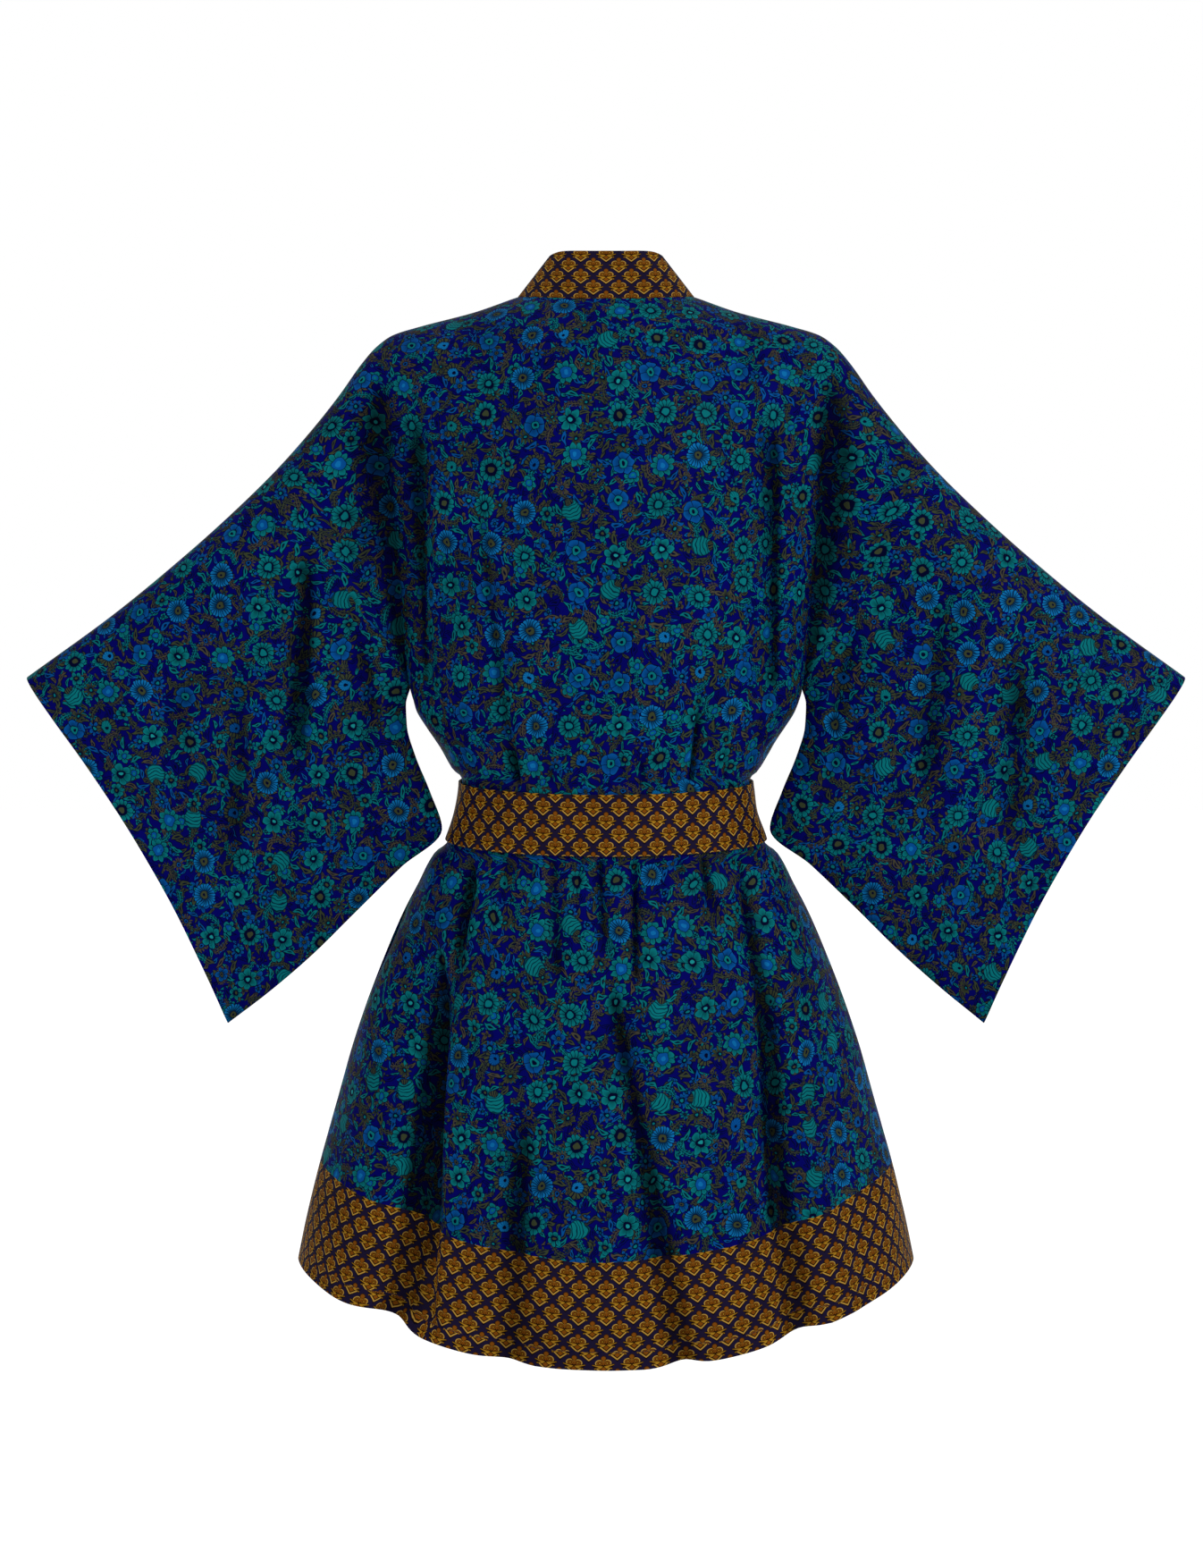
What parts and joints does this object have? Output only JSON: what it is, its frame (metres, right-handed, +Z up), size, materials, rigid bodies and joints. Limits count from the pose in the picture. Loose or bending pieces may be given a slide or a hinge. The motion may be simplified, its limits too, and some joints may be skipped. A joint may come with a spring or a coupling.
{
  "type": "kimono robe",
  "caption": "Short belted kimono robe with wide open sleeves, a standing neckband, a curved hem band and a knotted sash, hollow as worn.",
  "frame": {"origin": "middle of the neck hole, at the height where the neck meets the wearer's shoulders", "axes": "+Z up, the robe's front faces -Y, +X towards the wearer's left"},
  "size_m": [0.9818, 0.3334, 0.9127],
  "materials": {
    "floral_satin": "dark blue satin printed all over with small flowers",
    "gold_satin": "dark satin printed with gold palmettes in a diamond lattice"
  },
  "bodies": {
    "root": {"back": "floral_satin", "front_left": "floral_satin", "front_right": "floral_satin", "sleeve_left": "floral_satin", "sleeve_right": "floral_satin", "neckband": "gold_satin", "hem_back": "gold_satin", "hem_front_left": "gold_satin", "hem_front_right": "gold_satin", "belt": "gold_satin", "belt_knot": "gold_satin", "belt_tail_left": "gold_satin", "belt_tail_right": "gold_satin"}
  },
  "joints": []
}
